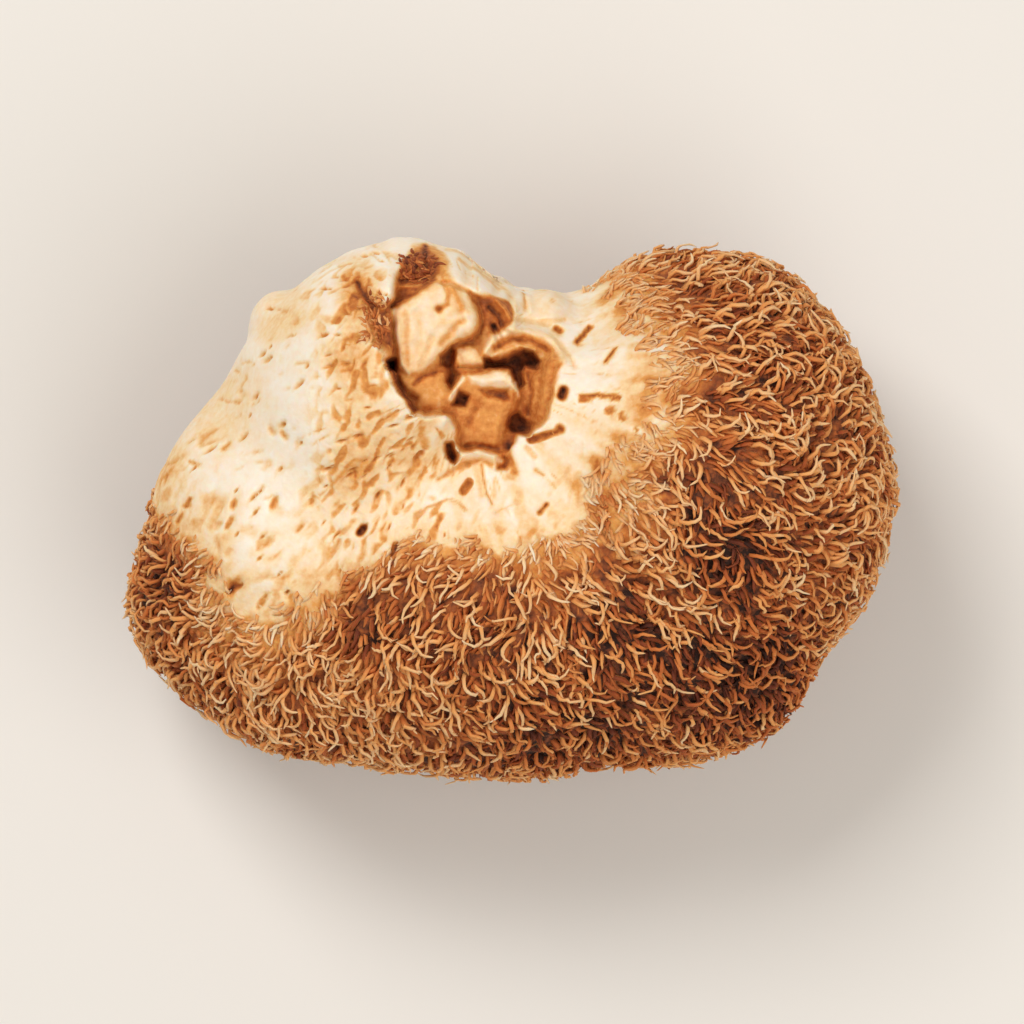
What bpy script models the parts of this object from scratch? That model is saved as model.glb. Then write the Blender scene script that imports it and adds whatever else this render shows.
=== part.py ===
"""A dried lion's mane mushroom: one rounded fruit body, lying as it was dried.

The head is a union of swollen lobes, torn open at the top where it was pulled off its block. Shreds of flesh
still stand in the tear, and a bare shoulder surrounds it. Spines hang away from the tear all round, matted
flat, and meet under the head.
Frame: +Z up, resting on z = 0, origin under the middle of the head, +Y towards the torn side.
"""

import math
import random

import bmesh
import bpy
from mathutils import Matrix, Vector, noise

MM = 0.001

# Driving dimensions: the box of the whole head, tips of the spines included.
HEAD_WIDTH = 60.5 * MM
HEAD_LENGTH = 42.4 * MM
HEAD_HEIGHT = 37.0 * MM

# Lobes of flesh, in millimetres: centre, half sizes.
LOBES = {
    "right": ((14.5, 2.2, 17.0), (15.4, 17.6, 17.4)),
    "front_right": ((12.0, -7.6, 16.2), (12.8, 12.3, 14.2)),
    "front": ((-2.0, -6.2, 16.4), (21.0, 14.5, 16.8)),
    "front_left": ((-13.0, -8.4, 15.6), (12.8, 11.0, 13.4)),
    "left_tip": ((-20.4, -6.2, 14.6), (9.2, 7.8, 10.4)),
    "left_flank": ((-16.7, -1.2, 17.0), (10.8, 11.2, 13.8)),
    "shoulder": ((-11.0, 7.4, 19.4), (10.6, 10.7, 15.4)),
    "back_left": ((-7.6, 10.6, 20.6), (10.9, 10.4, 16.0)),
    "back_middle": ((2.0, 7.0, 15.4), (10.0, 9.6, 15.8)),
}
LOBE_DETAIL = 4
MERGE_VOXEL = 1.1 * MM
MERGE_SMOOTHING = 30
LUMP_HEIGHT = 0.9 * MM
LUMP_SPACING = 8.5 * MM
RESTING_CUT = 1.5 * MM
RESTING_TOLERANCE = 0.08 * MM
FLESH_TRIANGLES = 3400

# The torn hollow: overlapping scoops, in millimetres: centre, half sizes.
TEAR = Vector((-3.0, 10.5, 36.0)) * MM
SCOOPS = {
    "throat": ((-3.6, 9.2, 34.5), (6.6, 7.0, 13.0)),
    "back_pocket": ((-1.6, 14.6, 34.0), (3.0, 3.2, 8.0)),
    "left_cleft": ((-8.6, 15.6, 35.0), (3.0, 3.6, 6.2)),
    "right_hollow": ((2.1, 8.4, 33.0), (3.8, 4.6, 9.5)),
}
SCOOP_DETAIL = 3
SCOOP_SMOOTHING = 4
SCOOP_TRIANGLES = 420

# Shreds of flesh left standing in the hollow, in millimetres: centre, size, then turn about Z and tilt in
# degrees, and how far the ends of the shred curl away from its middle.
SHREDS = {
    "flap": ((-6.5, 12.7, 26.6), (5.6, 7.0, 6.0), -28, 24, 0.6),
    "middle": ((-3.4, 7.0, 24.2), (3.6, 5.4, 9.6), 8, -8, 0.0),
    "stub": ((-3.2, 10.8, 24.0), (2.4, 2.4, 9.0), 30, 10, 0.0),
    "left": ((-7.4, 6.6, 23.4), (3.2, 4.4, 8.0), -20, 14, 0.3),
    "rim": ((-1.9, 16.9, 28.6), (9.4, 2.4, 7.0), -42, 26, 1.8),
    "lip": ((2.0, 13.2, 25.8), (5.8, 1.9, 5.0), -14, 12, 0.9),
}
SHRED_CUTS = 3
SHRED_RAGGEDNESS = 0.7 * MM
SHRED_NOTCHES = 2.0 * MM
SHRED_VOXEL = 0.4 * MM
SHRED_SMOOTHING = 2
SHRED_TRIANGLES = 760

# The bare flesh round the tear and down the shoulder, in millimetres: centre, half sizes.
BARE_PATCHES = (
    ((-1.5, 9.5, 30.0), (11.2, 11.4, 13.0)),
    ((-17.0, 5.0, 24.0), (11.4, 10.5, 12.0)),
    ((-14.5, -3.5, 29.0), (5.6, 6.0, 8.0)),
    ((-11.0, 14.5, 26.0), (9.5, 8.0, 12.0)),
)
BARE_RAGGEDNESS = 0.16
BARE_TONGUES = 5.0 * MM

# Spines: bent horns fused to the flesh, each grown from one facet of it.
SPINE_SEED = 7
SPINE_COUNT = 620
SPINE_SPACING = 1.75 * MM
SPINE_REACH = 1.3 * MM, 3.3 * MM
SPINE_RISE = 0.95 * MM, 1.35 * MM
SPINE_NECK = 0.55
SPINE_LENGTHS = 0.75, 1.2
SWIRL_TURN = 0.9
SWIRL_SIZE = 11.0 * MM
FACET_AREA = 0.5 * MM * MM, 4.0 * MM * MM
LOWEST_SPINE_ROOT = 1.6 * MM
LOWEST_SPINE_TIP = 0.4 * MM


def clear_scene():
    for obj in list(bpy.data.objects):
        bpy.data.objects.remove(obj, do_unlink=True)


def new_object(name, bm):
    mesh = bpy.data.meshes.new(name)
    bm.to_mesh(mesh)
    bm.free()
    obj = bpy.data.objects.new(name, mesh)
    bpy.context.scene.collection.objects.link(obj)
    return obj


def apply_modifiers(obj):
    """Replaces the object's mesh with what its modifiers make of it."""
    bpy.context.view_layer.update()
    graph = bpy.context.evaluated_depsgraph_get()
    made = bpy.data.meshes.new_from_object(obj.evaluated_get(graph))
    obj.modifiers.clear()
    obj.data = made


def ellipsoids(name, table, detail):
    """One object of overlapping ellipsoids, from a table in millimetres."""
    bm = bmesh.new()
    for centre, half in table.values():
        place = Matrix.Translation(Vector(centre) * MM)
        size = Matrix.Diagonal((*(Vector(half) * MM), 1.0))
        bmesh.ops.create_icosphere(bm, subdivisions=detail, radius=1.0, matrix=place @ size)
    return new_object(name, bm)


def merge(obj, voxel, smoothing):
    """Melts what overlaps into one smooth skin."""
    remesh = obj.modifiers.new("merge", "REMESH")
    remesh.mode = "VOXEL"
    remesh.voxel_size = voxel
    smooth = obj.modifiers.new("soften", "SMOOTH")
    smooth.factor = 0.5
    smooth.iterations = smoothing
    apply_modifiers(obj)


def thin_out(obj, triangles):
    now = sum(len(p.vertices) - 2 for p in obj.data.polygons)
    decimate = obj.modifiers.new("thin", "DECIMATE")
    decimate.ratio = triangles / now
    decimate.use_collapse_triangulate = True
    apply_modifiers(obj)


def combine(obj, other, operation):
    boolean = obj.modifiers.new("combine", "BOOLEAN")
    boolean.operation = operation
    boolean.object = other
    apply_modifiers(obj)
    bpy.data.objects.remove(other, do_unlink=True)


def raise_lumps(obj):
    """Low swellings all over, along the surface's own normals."""
    normals = [v.normal.copy() for v in obj.data.vertices]
    for vertex, normal in zip(obj.data.vertices, normals):
        vertex.co += normal * LUMP_HEIGHT * noise.noise(vertex.co / LUMP_SPACING)


def settle(obj):
    """Flattens the underside on z = 0, as a head dries on its tray."""
    floor = min(v.co.z for v in obj.data.vertices) + RESTING_CUT
    for vertex in obj.data.vertices:
        vertex.co.z = max(vertex.co.z - floor, 0.0)


def level_underside(obj):
    """Puts what almost touches the table exactly on it."""
    for vertex in obj.data.vertices:
        if vertex.co.z < RESTING_TOLERANCE:
            vertex.co.z = 0.0
    obj.data.update()


def make_flesh():
    flesh = ellipsoids("mushroom", LOBES, LOBE_DETAIL)
    merge(flesh, MERGE_VOXEL, MERGE_SMOOTHING)
    raise_lumps(flesh)
    settle(flesh)
    thin_out(flesh, FLESH_TRIANGLES)
    level_underside(flesh)
    return flesh


def make_scoop():
    scoop = ellipsoids("scoop", SCOOPS, SCOOP_DETAIL)
    merge(scoop, MERGE_VOXEL, SCOOP_SMOOTHING)
    thin_out(scoop, SCOOP_TRIANGLES)
    return scoop


def ragged_slab(centre, size, turn, tilt, curl):
    """One shred: a ragged slab, curled along its own X, stood in its place."""
    bm = bmesh.new()
    bmesh.ops.create_cube(bm, size=1.0)
    long_edges = [e for e in bm.edges if e.verts[0].co.x != e.verts[1].co.x]
    bmesh.ops.subdivide_edges(bm, edges=long_edges, cuts=SHRED_CUTS)
    for corner in bm.verts:
        bend = curl * (2 * corner.co.x) ** 2
        corner.co = Vector(corner.co[i] * size[i] * MM for i in range(3))
        corner.co.y -= bend * MM
        corner.co += SHRED_RAGGEDNESS * noise.noise_vector(corner.co / SHRED_NOTCHES + Vector(centre))
    aim = Matrix.Rotation(math.radians(turn), 4, "Z") @ Matrix.Rotation(math.radians(tilt), 4, "X")
    bmesh.ops.transform(bm, matrix=Matrix.Translation(Vector(centre) * MM) @ aim, verts=bm.verts)
    slab = bpy.data.meshes.new("slab")
    bm.to_mesh(slab)
    bm.free()
    return slab


def make_shreds():
    together = bmesh.new()
    for facts in SHREDS.values():
        together.from_mesh(ragged_slab(*facts))
    shreds = new_object("shreds", together)
    merge(shreds, SHRED_VOXEL, SHRED_SMOOTHING)
    thin_out(shreds, SHRED_TRIANGLES)
    return shreds


def fill_sealed_pockets(obj):
    """Keeps the outer skin alone, so that a pocket closed in by the shreds is solid flesh."""
    bm = bmesh.new()
    bm.from_mesh(obj.data)
    waiting = set(bm.verts)
    skins = []
    while waiting:
        skin = set()
        reached = [waiting.pop()]
        while reached:
            vertex = reached.pop()
            skin.add(vertex)
            beside = {e.other_vert(vertex) for e in vertex.link_edges} & waiting
            waiting -= beside
            reached.extend(beside)
        skins.append(skin)
    outer = max(skins, key=len)
    bmesh.ops.delete(bm, geom=[v for v in bm.verts if v not in outer], context="VERTS")
    bm.to_mesh(obj.data)
    bm.free()


def bareness(point):
    """1 deep in the bare flesh, 0 at its ragged edge, below 0 in the mane."""
    depths = []
    for centre, half in BARE_PATCHES:
        away = [(point[i] - centre[i] * MM) / (half[i] * MM) for i in range(3)]
        depths.append(1.0 - math.hypot(*away))
    return max(depths) + BARE_RAGGEDNESS * noise.noise(point / BARE_TONGUES)


def hang_direction(point, normal):
    """Along the surface, away from the tear, turned a little by a slow swirl."""
    away = point - TEAR
    flat = away - normal * away.dot(normal)
    swirl = SWIRL_TURN * noise.noise(point / SWIRL_SIZE)
    return Matrix.Rotation(swirl, 3, normal) @ flat.normalized()


def spine_roots(bm):
    """Facets that grow a spine: spaced apart, and none that is bare or rests on the table."""
    chance = random.Random(SPINE_SEED)
    faces = [f for f in bm.faces if FACET_AREA[0] < f.calc_area() < FACET_AREA[1]]
    chance.shuffle(faces)
    roots = []
    places = []
    for face in faces:
        place = face.calc_center_median()
        if place.z < LOWEST_SPINE_ROOT or bareness(place) > 0:
            continue
        if all((place - other).length > SPINE_SPACING for other in places):
            roots.append(face)
            places.append(place)
    return roots[:SPINE_COUNT]


def grow_spine(bm, face, length):
    """Two steps: a neck that leans over, then a point that lies along the surface."""
    root = face.calc_center_median()
    normal = face.normal.copy()
    along = hang_direction(root, normal) * length
    neck = bmesh.ops.extrude_discrete_faces(bm, faces=[face])["faces"][0]
    bend = root + normal * SPINE_RISE[0] + along * SPINE_REACH[0]
    for corner in neck.verts:
        corner.co = bend + (corner.co - root) * SPINE_NECK
        corner.co.z = max(corner.co.z, LOWEST_SPINE_TIP)
    tip = bmesh.ops.poke(bm, faces=[neck])["verts"][0]
    tip.co = root + normal * SPINE_RISE[1] + along * SPINE_REACH[1]
    tip.co.z = max(tip.co.z, LOWEST_SPINE_TIP)


def grow_mane(obj):
    chance = random.Random(SPINE_SEED)
    bm = bmesh.new()
    bm.from_mesh(obj.data)
    bmesh.ops.triangulate(bm, faces=bm.faces)
    bm.normal_update()
    for face in spine_roots(bm):
        grow_spine(bm, face, chance.uniform(*SPINE_LENGTHS))
    bm.to_mesh(obj.data)
    bm.free()


def fit_to_size(obj):
    """Scales the head to its driving dimensions, and stands it over the origin."""
    corners = [v.co for v in obj.data.vertices]
    low = Vector(min(c[i] for c in corners) for i in range(3))
    high = Vector(max(c[i] for c in corners) for i in range(3))
    size = Vector((HEAD_WIDTH, HEAD_LENGTH, HEAD_HEIGHT))
    scale = Matrix.Diagonal([size[i] / (high[i] - low[i]) for i in range(3)]).to_4x4()
    foot = Vector(((low.x + high.x) / 2, (low.y + high.y) / 2, low.z))
    obj.data.transform(scale @ Matrix.Translation(-foot))


def dried_flesh():
    material = bpy.data.materials.new("dried_flesh")
    material.use_nodes = True
    shader = material.node_tree.nodes["Principled BSDF"]
    shader.inputs["Base Color"].default_value = (0.36, 0.17, 0.065, 1.0)
    shader.inputs["Roughness"].default_value = 0.8
    shader.inputs["Metallic"].default_value = 0.0
    return material


def main():
    clear_scene()
    mushroom = make_flesh()
    combine(mushroom, make_scoop(), "DIFFERENCE")
    combine(mushroom, make_shreds(), "UNION")
    fill_sealed_pockets(mushroom)
    grow_mane(mushroom)
    fit_to_size(mushroom)
    mushroom.data.materials.clear()
    mushroom.data.materials.append(dried_flesh())


main()
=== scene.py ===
"""Looks of a dried lion's mane mushroom: cream flesh torn open at the top, and a mane of curled spines.

Lengths are in millimetres, and on the stage in metres. +Z up, +Y towards the torn side.
"""
import math
import random
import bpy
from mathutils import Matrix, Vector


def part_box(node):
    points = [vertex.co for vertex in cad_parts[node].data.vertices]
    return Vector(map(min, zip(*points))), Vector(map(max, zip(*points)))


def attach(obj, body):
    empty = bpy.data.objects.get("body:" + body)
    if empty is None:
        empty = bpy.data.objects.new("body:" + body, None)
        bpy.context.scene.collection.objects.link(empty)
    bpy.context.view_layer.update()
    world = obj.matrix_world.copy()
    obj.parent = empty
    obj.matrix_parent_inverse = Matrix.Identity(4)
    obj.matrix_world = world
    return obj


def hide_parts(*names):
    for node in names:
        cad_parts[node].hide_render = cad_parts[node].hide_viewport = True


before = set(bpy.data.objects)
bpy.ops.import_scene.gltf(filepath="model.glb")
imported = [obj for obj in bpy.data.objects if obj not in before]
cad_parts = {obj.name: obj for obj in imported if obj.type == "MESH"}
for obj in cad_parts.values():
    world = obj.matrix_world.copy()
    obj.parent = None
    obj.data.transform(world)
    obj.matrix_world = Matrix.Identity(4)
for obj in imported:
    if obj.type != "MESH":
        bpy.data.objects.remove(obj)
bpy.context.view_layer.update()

from types import SimpleNamespace

import bpy
import numpy as np
from mathutils import Quaternion, Vector, noise
from mathutils.bvhtree import BVHTree

MM = 0.001
LOW, HIGH = (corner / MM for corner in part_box("mushroom"))

# Room that the mane takes outside the flesh, below and above on each axis.
MANE_ROOM_LOW = Vector((1.0, 1.1, 0.35))
MANE_ROOM_HIGH = Vector((1.1, 0.4, 0.1))

# Lobes of flesh: centre, half sizes.
LOBES = {
    "right": ((14.5, 2.2, 17.0), (15.4, 17.6, 17.4)),
    "front_right": ((12.0, -7.6, 16.2), (12.8, 12.3, 14.2)),
    "front": ((-2.0, -6.2, 16.4), (21.0, 14.5, 16.8)),
    "front_left": ((-13.0, -8.4, 15.6), (12.8, 11.0, 13.4)),
    "left_tip": ((-20.4, -6.2, 14.6), (9.2, 7.8, 10.4)),
    "left_flank": ((-16.7, -1.2, 17.0), (10.8, 11.2, 13.8)),
    "shoulder": ((-11.0, 7.4, 19.4), (10.6, 10.7, 15.4)),
    "back_left": ((-7.6, 10.6, 20.6), (10.9, 10.4, 16.0)),
    "back_middle": ((2.0, 7.0, 15.4), (10.0, 9.6, 15.8)),
}
SMALL_LOBES = {
    "back_bump": ((2.5, 13.0, 21.5), (2.7, 4.1, 6.6)),
    "shoulder_bulge": ((-17.6, 13.6, 21.0), (2.7, 3.3, 5.0)),
}
LOBE_DETAIL = 4
LOBE_VOXEL = 1.1
LOBE_SMOOTHING = 30
LUMP_HEIGHT = 0.9
LUMP_SPACING = 8.5
RESTING_CUT = 1.5

# The middle of the tear, which the strands hang away from.
TEAR = Vector((-3.0, 10.5, 36.0))
FLESH_VOXEL = 0.55
FLESH_SMOOTHING = 5

# Seen from above, the edge between bare flesh and mane, closed well outside the back of the head.
BARE_OUTLINE = (
    (-30.0, 2.0), (-27.2, 1.2), (-26.2, -0.2), (-25.0, -1.6), (-23.4, -2.6), (-22.4, -3.8), (-22.2, -5.4),
    (-21.4, -7.2), (-19.8, -8.4), (-18.2, -8.0), (-16.6, -7.2), (-15.0, -6.8), (-13.4, -5.6), (-12.0, -4.4),
    (-10.4, -3.6), (-9.4, -2.6), (-8.4, -2.0), (-6.0, -2.2), (-3.4, -2.6), (-0.6, -2.7), (1.8, -2.4),
    (3.6, -1.8), (5.6, 0.0), (7.8, 2.0), (9.8, 4.0), (11.2, 6.6), (11.6, 10.4), (10.9, 13.6), (9.4, 16.4),
    (7.9, 18.2), (8.5, 24.0), (-10.0, 32.0), (-36.0, 22.0), (-36.0, 4.0),
)
BARE_LOWEST = 13.0
UNDERSIDE_SLOPE = 0.9
EDGE_RAGGEDNESS = 1.2
EDGE_TONGUES = 2.4

# Bands along the edge of the mane, by depth in it in millimetres: where each begins, and where it is full.
BANDS = {
    "bare": (1.5, -0.5), "marked": (-6.5, -2.0), "golden": (-5.5, -2.0), "streaked": (-4.0, -1.0),
    "fringe": (-3.4, -1.2), "fringe_clumps": (-3.2, -0.6), "curly": (-3.0, -0.6), "warm": (-2.8, -0.4),
    "mottled": (-1.0, 1.0), "edge": (-0.7, 0.9), "ground": (-0.6, 1.2), "grown": (-0.5, 3.0),
    "planted": (-0.4, 1.8), "shaded_ground": (-0.3, 1.0), "ground_dip_shade": (0.2, 2.4), "inner": (0.8, 3.6),
    "dark_ground": (1.2, 4.5), "innermost": (2.0, 8.0),
}

# Patches of short rusty spines inside the bare flesh: centre, half sizes, tone.
ISLANDS = (
    ((-7.2, 18.3, 32.0), (1.5, 1.3, 5.0), 0.60),
    ((-10.2, 14.0, 34.0), (1.0, 2.4, 5.0), 0.42),
)
ISLAND_SLOPE = 2.5


def deselect():
    if bpy.context.object and bpy.context.object.mode != "OBJECT":
        bpy.ops.object.mode_set(mode="OBJECT")
    bpy.ops.object.select_all(action="DESELECT")


def pick(*pieces):
    deselect()
    for piece in pieces:
        piece.select_set(True)
    bpy.context.view_layer.objects.active = pieces[0]


def finish_modifier(piece, kind, **settings):
    """Adds one modifier with its settings and applies it."""
    pick(piece)
    modifier = piece.modifiers.new(kind.lower(), kind)
    for name, value in settings.items():
        setattr(modifier, name, value)
    bpy.ops.object.modifier_apply(modifier=modifier.name)


def bake_place(piece):
    pick(piece)
    bpy.ops.object.transform_apply(location=True, rotation=True, scale=True)


def join(name, pieces):
    pick(*pieces)
    if len(pieces) > 1:
        bpy.ops.object.join()
    whole = bpy.context.object
    whole.name = name
    whole.data.name = name
    return whole


def read_rows(items, name):
    """One measure of each point or face of a mesh, as rows of x, y, z."""
    flat = np.empty(len(items) * 3)
    items.foreach_get(name, flat)
    return flat.reshape(-1, 3)


def read_points(piece):
    return read_rows(piece.data.vertices, "co") / MM


def read_normals(piece):
    return read_rows(piece.data.vertices, "normal")


def write_points(piece, points):
    piece.data.vertices.foreach_set("co", (points * MM).ravel())
    piece.data.update()


def noise_at(points, size, shift=0.0):
    """Smooth noise, from -1 to 1, whose features are about size across."""
    return np.array([noise.noise(Vector(p) / size + Vector((shift, shift, shift))) for p in points])


def ease(low, high, values):
    """0 below low, 1 above high, and a smooth step between."""
    t = np.clip((values - low) / (high - low), 0.0, 1.0)
    return t * t * (3.0 - 2.0 * t)


def band(name, depth):
    """How far into one of the bands each depth is, from 0 to 1."""
    return ease(*BANDS[name], depth)


def segment_distance(plan, start, end):
    """How far each x, y of plan lies from the straight line between two points."""
    start = np.array(start, float)
    along = np.array(end, float) - start
    share = np.clip(((plan - start) @ along) / max(along @ along, 1e-9), 0.0, 1.0)
    return np.hypot(*(plan - start - share[:, None] * along).T)


def outline_distance(plan, outline):
    """Distance to a closed outline seen from above, below 0 inside it."""
    nearest = np.full(len(plan), FAR)
    inside = np.zeros(len(plan), bool)
    for start, end in zip(outline, outline[1:] + outline[:1]):
        nearest = np.minimum(nearest, segment_distance(plan, start, end))
        crosses = (start[1] > plan[:, 1]) != (end[1] > plan[:, 1])
        rise = end[1] - start[1] if end[1] != start[1] else 1e-9
        reach = start[0] + (plan[:, 1] - start[1]) * (end[0] - start[0]) / rise
        inside ^= crosses & (plan[:, 0] < reach)
    return np.where(inside, -nearest, nearest)


def island_depth(points):
    """Above 0 inside a patch of rusty spines, with that patch's tone."""
    depth = np.full(len(points), -9.0)
    tone = np.zeros(len(points))
    for centre, half, patch_tone in ISLANDS:
        away = np.linalg.norm((points - np.array(centre)) / np.array(half), axis=1)
        here = (1.0 - away) * ISLAND_SLOPE
        tone = np.where(here > depth, patch_tone, tone)
        depth = np.maximum(depth, here)
    return depth, tone


def mane_depth(points):
    """How deep in the mane a point lies, in millimetres: below 0 in the bare flesh."""
    plan = outline_distance(points[:, :2], BARE_OUTLINE)
    below = (BARE_LOWEST - points[:, 2]) * UNDERSIDE_SLOPE
    tongues = noise_at(points, EDGE_TONGUES) + 0.5 * noise_at(points, 0.4 * EDGE_TONGUES, 3.0)
    return np.maximum(plan, below) + EDGE_RAGGEDNESS * tongues


SPOT_EDGE = (1.3, 0.3)
SPOTS_LOWEST = 10.0
# Places where the mane is darker, above 0, or more golden, below 0: centre, half sizes, change of tone.
MANE_SPOTS = (
    (12.0, 1.0, 4.5, 3.0, 0.04), (16.5, -3.5, 3.8, 5.0, 0.2), (9.8, -0.6, 2.8, 2.8, -0.26),
    (12.5, 9.0, 3.4, 6.5, -0.1), (3.0, -5.5, 3.4, 3.4, -0.14), (7.0, -3.0, 3.6, 2.0, -0.14),
    (-3.5, -3.6, 4.5, 1.2, -0.05), (-11.5, -8.0, 3.2, 3.6, 0.12), (-14.0, -13.0, 7.0, 4.5, -0.1),
    (-18.5, -11.0, 4.0, 3.2, -0.12), (-26.0, -4.5, 2.6, 3.6, 0.14), (5.0, -17.0, 9.0, 5.0, 0.18),
    (18.0, -13.0, 7.0, 6.0, 0.3), (9.0, -10.5, 4.0, 3.6, 0.18), (24.0, 0.0, 4.0, 6.0, -0.03),
)

# How much darker the mane gets in each band, and towards its underside, between two heights; the darkening
# towards the underside is painted shade.
MANE_RISES = {"warm": 0.11, "edge": 0.14, "inner": 0.07, "innermost": 0.06}
LOW_PAINTED_SHADE = 0.10
LOW_BAND = (16.0, 6.0)
MANE_MOTTLE = {"tufts": 0.08, "clumps": 0.12}

# Noises: the size of their features in millimetres, and a shift that sets them apart.
NOISES = {
    "tufts": (4.5, 3.0), "clumps": (1.9, 11.0), "folds": (2.3, 7.0), "soft_folds": (2.2, 21.0),
    "swells": (3.0, 2.0), "curls": (0.72, 5.0), "marks": (1.0, 14.0), "streaks": (1.0, 17.0),
    "lines": (1.1, 3.0), "line_gaps": (1.7, 8.0), "ground": (1.2, 1.0), "fringe": (1.3, 12.0),
    "torn_grain": (0.8, 4.0), "torn_edge": (0.9, 2.0), "torn_relief": (0.5, 6.0),
}


def pattern(name, points):
    """One of the named noises, from -1 to 1."""
    return noise_at(points, *NOISES[name])


def change_at(points, spots):
    """The change of tone that the spots make together."""
    change = np.zeros(len(points))
    for x, y, half_x, half_y, amount in spots:
        away = np.linalg.norm((points[:, :2] - np.array((x, y))) / np.array((half_x, half_y)), axis=1)
        change += amount * ease(*SPOT_EDGE, away) * (points[:, 2] > SPOTS_LOWEST)
    return change


def mane_tone(points, depth):
    """Colour of the mane along one scale: 0 cream, 0.3 golden, 0.5 tan brown, 1 nearly black brown."""
    tone = 0.01 + sum(rise * band(name, depth) for name, rise in MANE_RISES.items())
    # Darker towards the underside: painted shade.
    tone += LOW_PAINTED_SHADE * ease(*LOW_BAND, points[:, 2])
    tone += change_at(points, MANE_SPOTS)
    mottle = sum(strength * pattern(name, points) for name, strength in MANE_MOTTLE.items())
    return tone + band("mottled", depth) * mottle


def add_ball(centre, half, detail):
    bpy.ops.mesh.primitive_ico_sphere_add(subdivisions=detail, radius=MM)
    ball = bpy.context.object
    ball.scale = half
    ball.location = Vector(centre) * MM
    bake_place(ball)
    return ball


def add_balls(name, table, detail):
    return join(name, [add_ball(centre, half, detail) for centre, half in table.values()])


def melt(piece, voxel, smoothing):
    """Melts what overlaps into one smooth skin."""
    finish_modifier(piece, "REMESH", mode="VOXEL", voxel_size=voxel * MM)
    finish_modifier(piece, "SMOOTH", factor=0.5, iterations=smoothing)


def raise_lumps(piece):
    points = read_points(piece)
    lumps = noise_at(points, LUMP_SPACING)
    write_points(piece, points + read_normals(piece) * (LUMP_HEIGHT * lumps)[:, None])


def settle(piece):
    """Flattens the underside, as a head dries on its tray."""
    points = read_points(piece)
    points[:, 2] = np.maximum(points[:, 2] - points[:, 2].min() - RESTING_CUT, 0.0)
    write_points(piece, points)


def fit_inside(piece, low, high):
    points = read_points(piece)
    start = points.min(0)
    size = points.max(0) - start
    write_points(piece, (points - start) / size * np.array(high - low) + np.array(low))


def refine(flesh, wanted):
    """Splits the faces of the flesh whose centres are wanted once more."""
    centres = read_rows(flesh.data.polygons, "center") / MM
    pick(flesh)
    bpy.ops.object.mode_set(mode="EDIT")
    bpy.ops.mesh.select_mode(type="FACE")
    bpy.ops.mesh.select_all(action="DESELECT")
    bpy.ops.object.mode_set(mode="OBJECT")
    flesh.data.polygons.foreach_set("select", wanted(centres))
    bpy.ops.object.mode_set(mode="EDIT")
    bpy.ops.mesh.subdivide(number_cuts=1, smoothness=0.6)
    bpy.ops.object.mode_set(mode="OBJECT")
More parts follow.
